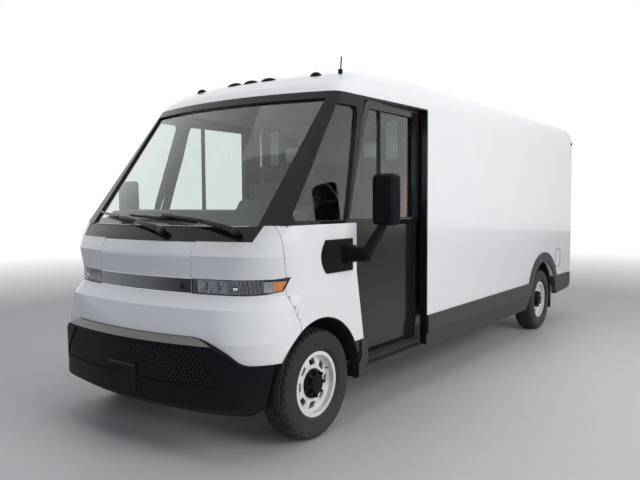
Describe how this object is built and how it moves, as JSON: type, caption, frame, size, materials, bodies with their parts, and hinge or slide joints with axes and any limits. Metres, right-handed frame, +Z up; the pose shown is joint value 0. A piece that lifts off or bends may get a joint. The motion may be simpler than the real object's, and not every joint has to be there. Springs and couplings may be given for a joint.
{
  "type": "electric delivery van",
  "caption": "Walk-through electric delivery van with bowed nose, large raked windscreen, pocket sliding doors, long cargo box, steered front wheels and hinged charge flap.",
  "frame": {"origin": "on the ground below the middle of the van's overall box", "axes": "+Z up, the nose points along -Y, +X towards the van's left side where the driver sits"},
  "size_m": [2.742, 6.661, 2.6784],
  "materials": {
    "white_paint": "gloss white paint",
    "black_trim": "grained black plastic",
    "glass": "lightly tinted",
    "lamp": "clear lens over bright reflectors",
    "silver_trim": "satin dark silver",
    "red_lamp": "red lens",
    "frame_black": "satin black chassis paint",
    "battery": "cast and sheet aluminium",
    "interior_grey": "light grey lining",
    "interior_dark": "dark grey grained plastic and cloth",
    "tyre": "black rubber",
    "white_rim": "white painted pressed steel"
  },
  "bodies": {
    "chassis": {"frame_rails": "frame_black", "battery_pack": "battery", "front_suspension": "frame_black", "drive_unit": "frame_black", "rear_suspension": "frame_black", "floor_pan": "interior_grey", "cargo_side_left": "white_paint", "cargo_side_right": "white_paint", "door_pockets": "interior_grey", "bulkhead": "interior_grey", "roof": "white_paint", "marker_lamps": "black_trim", "antenna": "frame_black", "cab_frame": "black_trim", "windshield": "glass", "quarter_windows": "glass", "nose_fascia": "white_paint", "hood_corners": "white_paint", "hood_panel": "white_paint", "front_fenders": "white_paint", "front_bumper": "black_trim", "headlamps": "lamp", "light_bar": "silver_trim", "cowl_panel": "black_trim", "wheel_liners": "black_trim", "rockers": "black_trim", "rear_frame": "white_paint", "rear_door": "white_paint", "rear_bumper": "black_trim", "tail_lamps": "red_lamp", "mirrors": "black_trim", "dashboard": "interior_dark", "seats": "interior_dark", "wipers": "black_trim"},
    "knuckle_left": {"knuckle_left": "frame_black"},
    "knuckle_right": {"knuckle_right": "frame_black"},
    "steering_wheel": {"steering_wheel": "interior_dark"},
    "door_left": {"door_left": "black_trim", "door_glass_left": "glass"},
    "door_right": {"door_right": "black_trim", "door_glass_right": "glass"},
    "charge_port_door": {"charge_port_door": "white_paint"},
    "wheel_front_left": {"tyre_front_left": "tyre", "rim_front_left": "white_rim"},
    "wheel_front_right": {"tyre_front_right": "tyre", "rim_front_right": "white_rim"},
    "wheel_rear_left": {"tyre_rear_left": "tyre", "rim_rear_left": "white_rim"},
    "wheel_rear_right": {"tyre_rear_right": "tyre", "rim_rear_right": "white_rim"}
  },
  "joints": [
    {"name": "steer_left", "type": "hinge", "parent": "chassis", "child": "knuckle_left", "pos_m": [0.86, -2.5205, 0.372], "axis": [0, 0, 1], "range_deg": [-35, 35]},
    {"name": "steer_right", "type": "hinge", "parent": "chassis", "child": "knuckle_right", "pos_m": [-0.86, -2.5205, 0.372], "axis": [0, 0, 1], "range_deg": [-35, 35]},
    {"name": "spin_front_left", "type": "hinge", "parent": "knuckle_left", "child": "wheel_front_left", "pos_m": [0.9225, -2.5205, 0.372], "axis": [1, 0, 0], "continuous": true},
    {"name": "spin_front_right", "type": "hinge", "parent": "knuckle_right", "child": "wheel_front_right", "pos_m": [-0.9225, -2.5205, 0.372], "axis": [1, 0, 0], "continuous": true},
    {"name": "spin_rear_left", "type": "hinge", "parent": "chassis", "child": "wheel_rear_left", "pos_m": [0.9225, 2.1405, 0.372], "axis": [1, 0, 0], "continuous": true},
    {"name": "spin_rear_right", "type": "hinge", "parent": "chassis", "child": "wheel_rear_right", "pos_m": [-0.9225, 2.1405, 0.372], "axis": [1, 0, 0], "continuous": true},
    {"name": "steering_wheel_turn", "type": "hinge", "parent": "chassis", "child": "steering_wheel", "pos_m": [0.6, -1.9605, 1.588], "axis": [0, 0.8988, 0.4384], "range_deg": [-525, 525]},
    {"name": "door_left_slide", "type": "slide", "parent": "chassis", "child": "door_left", "axis": [0, 1, 0], "range_m": [0, 0.8]},
    {"name": "door_right_slide", "type": "slide", "parent": "chassis", "child": "door_right", "axis": [0, 1, 0], "range_m": [0, 0.8]},
    {"name": "charge_port_lid", "type": "hinge", "parent": "chassis", "child": "charge_port_door", "pos_m": [1.06, 2.8425, 0.852], "axis": [0, 0, 1], "range_deg": [0, 110]}
  ],
  "couplings": [
    {"joint": "steer_right", "follows": "steer_left", "ratio": 1},
    {"joint": "steering_wheel_turn", "follows": "steer_left", "ratio": 15}
  ]
}
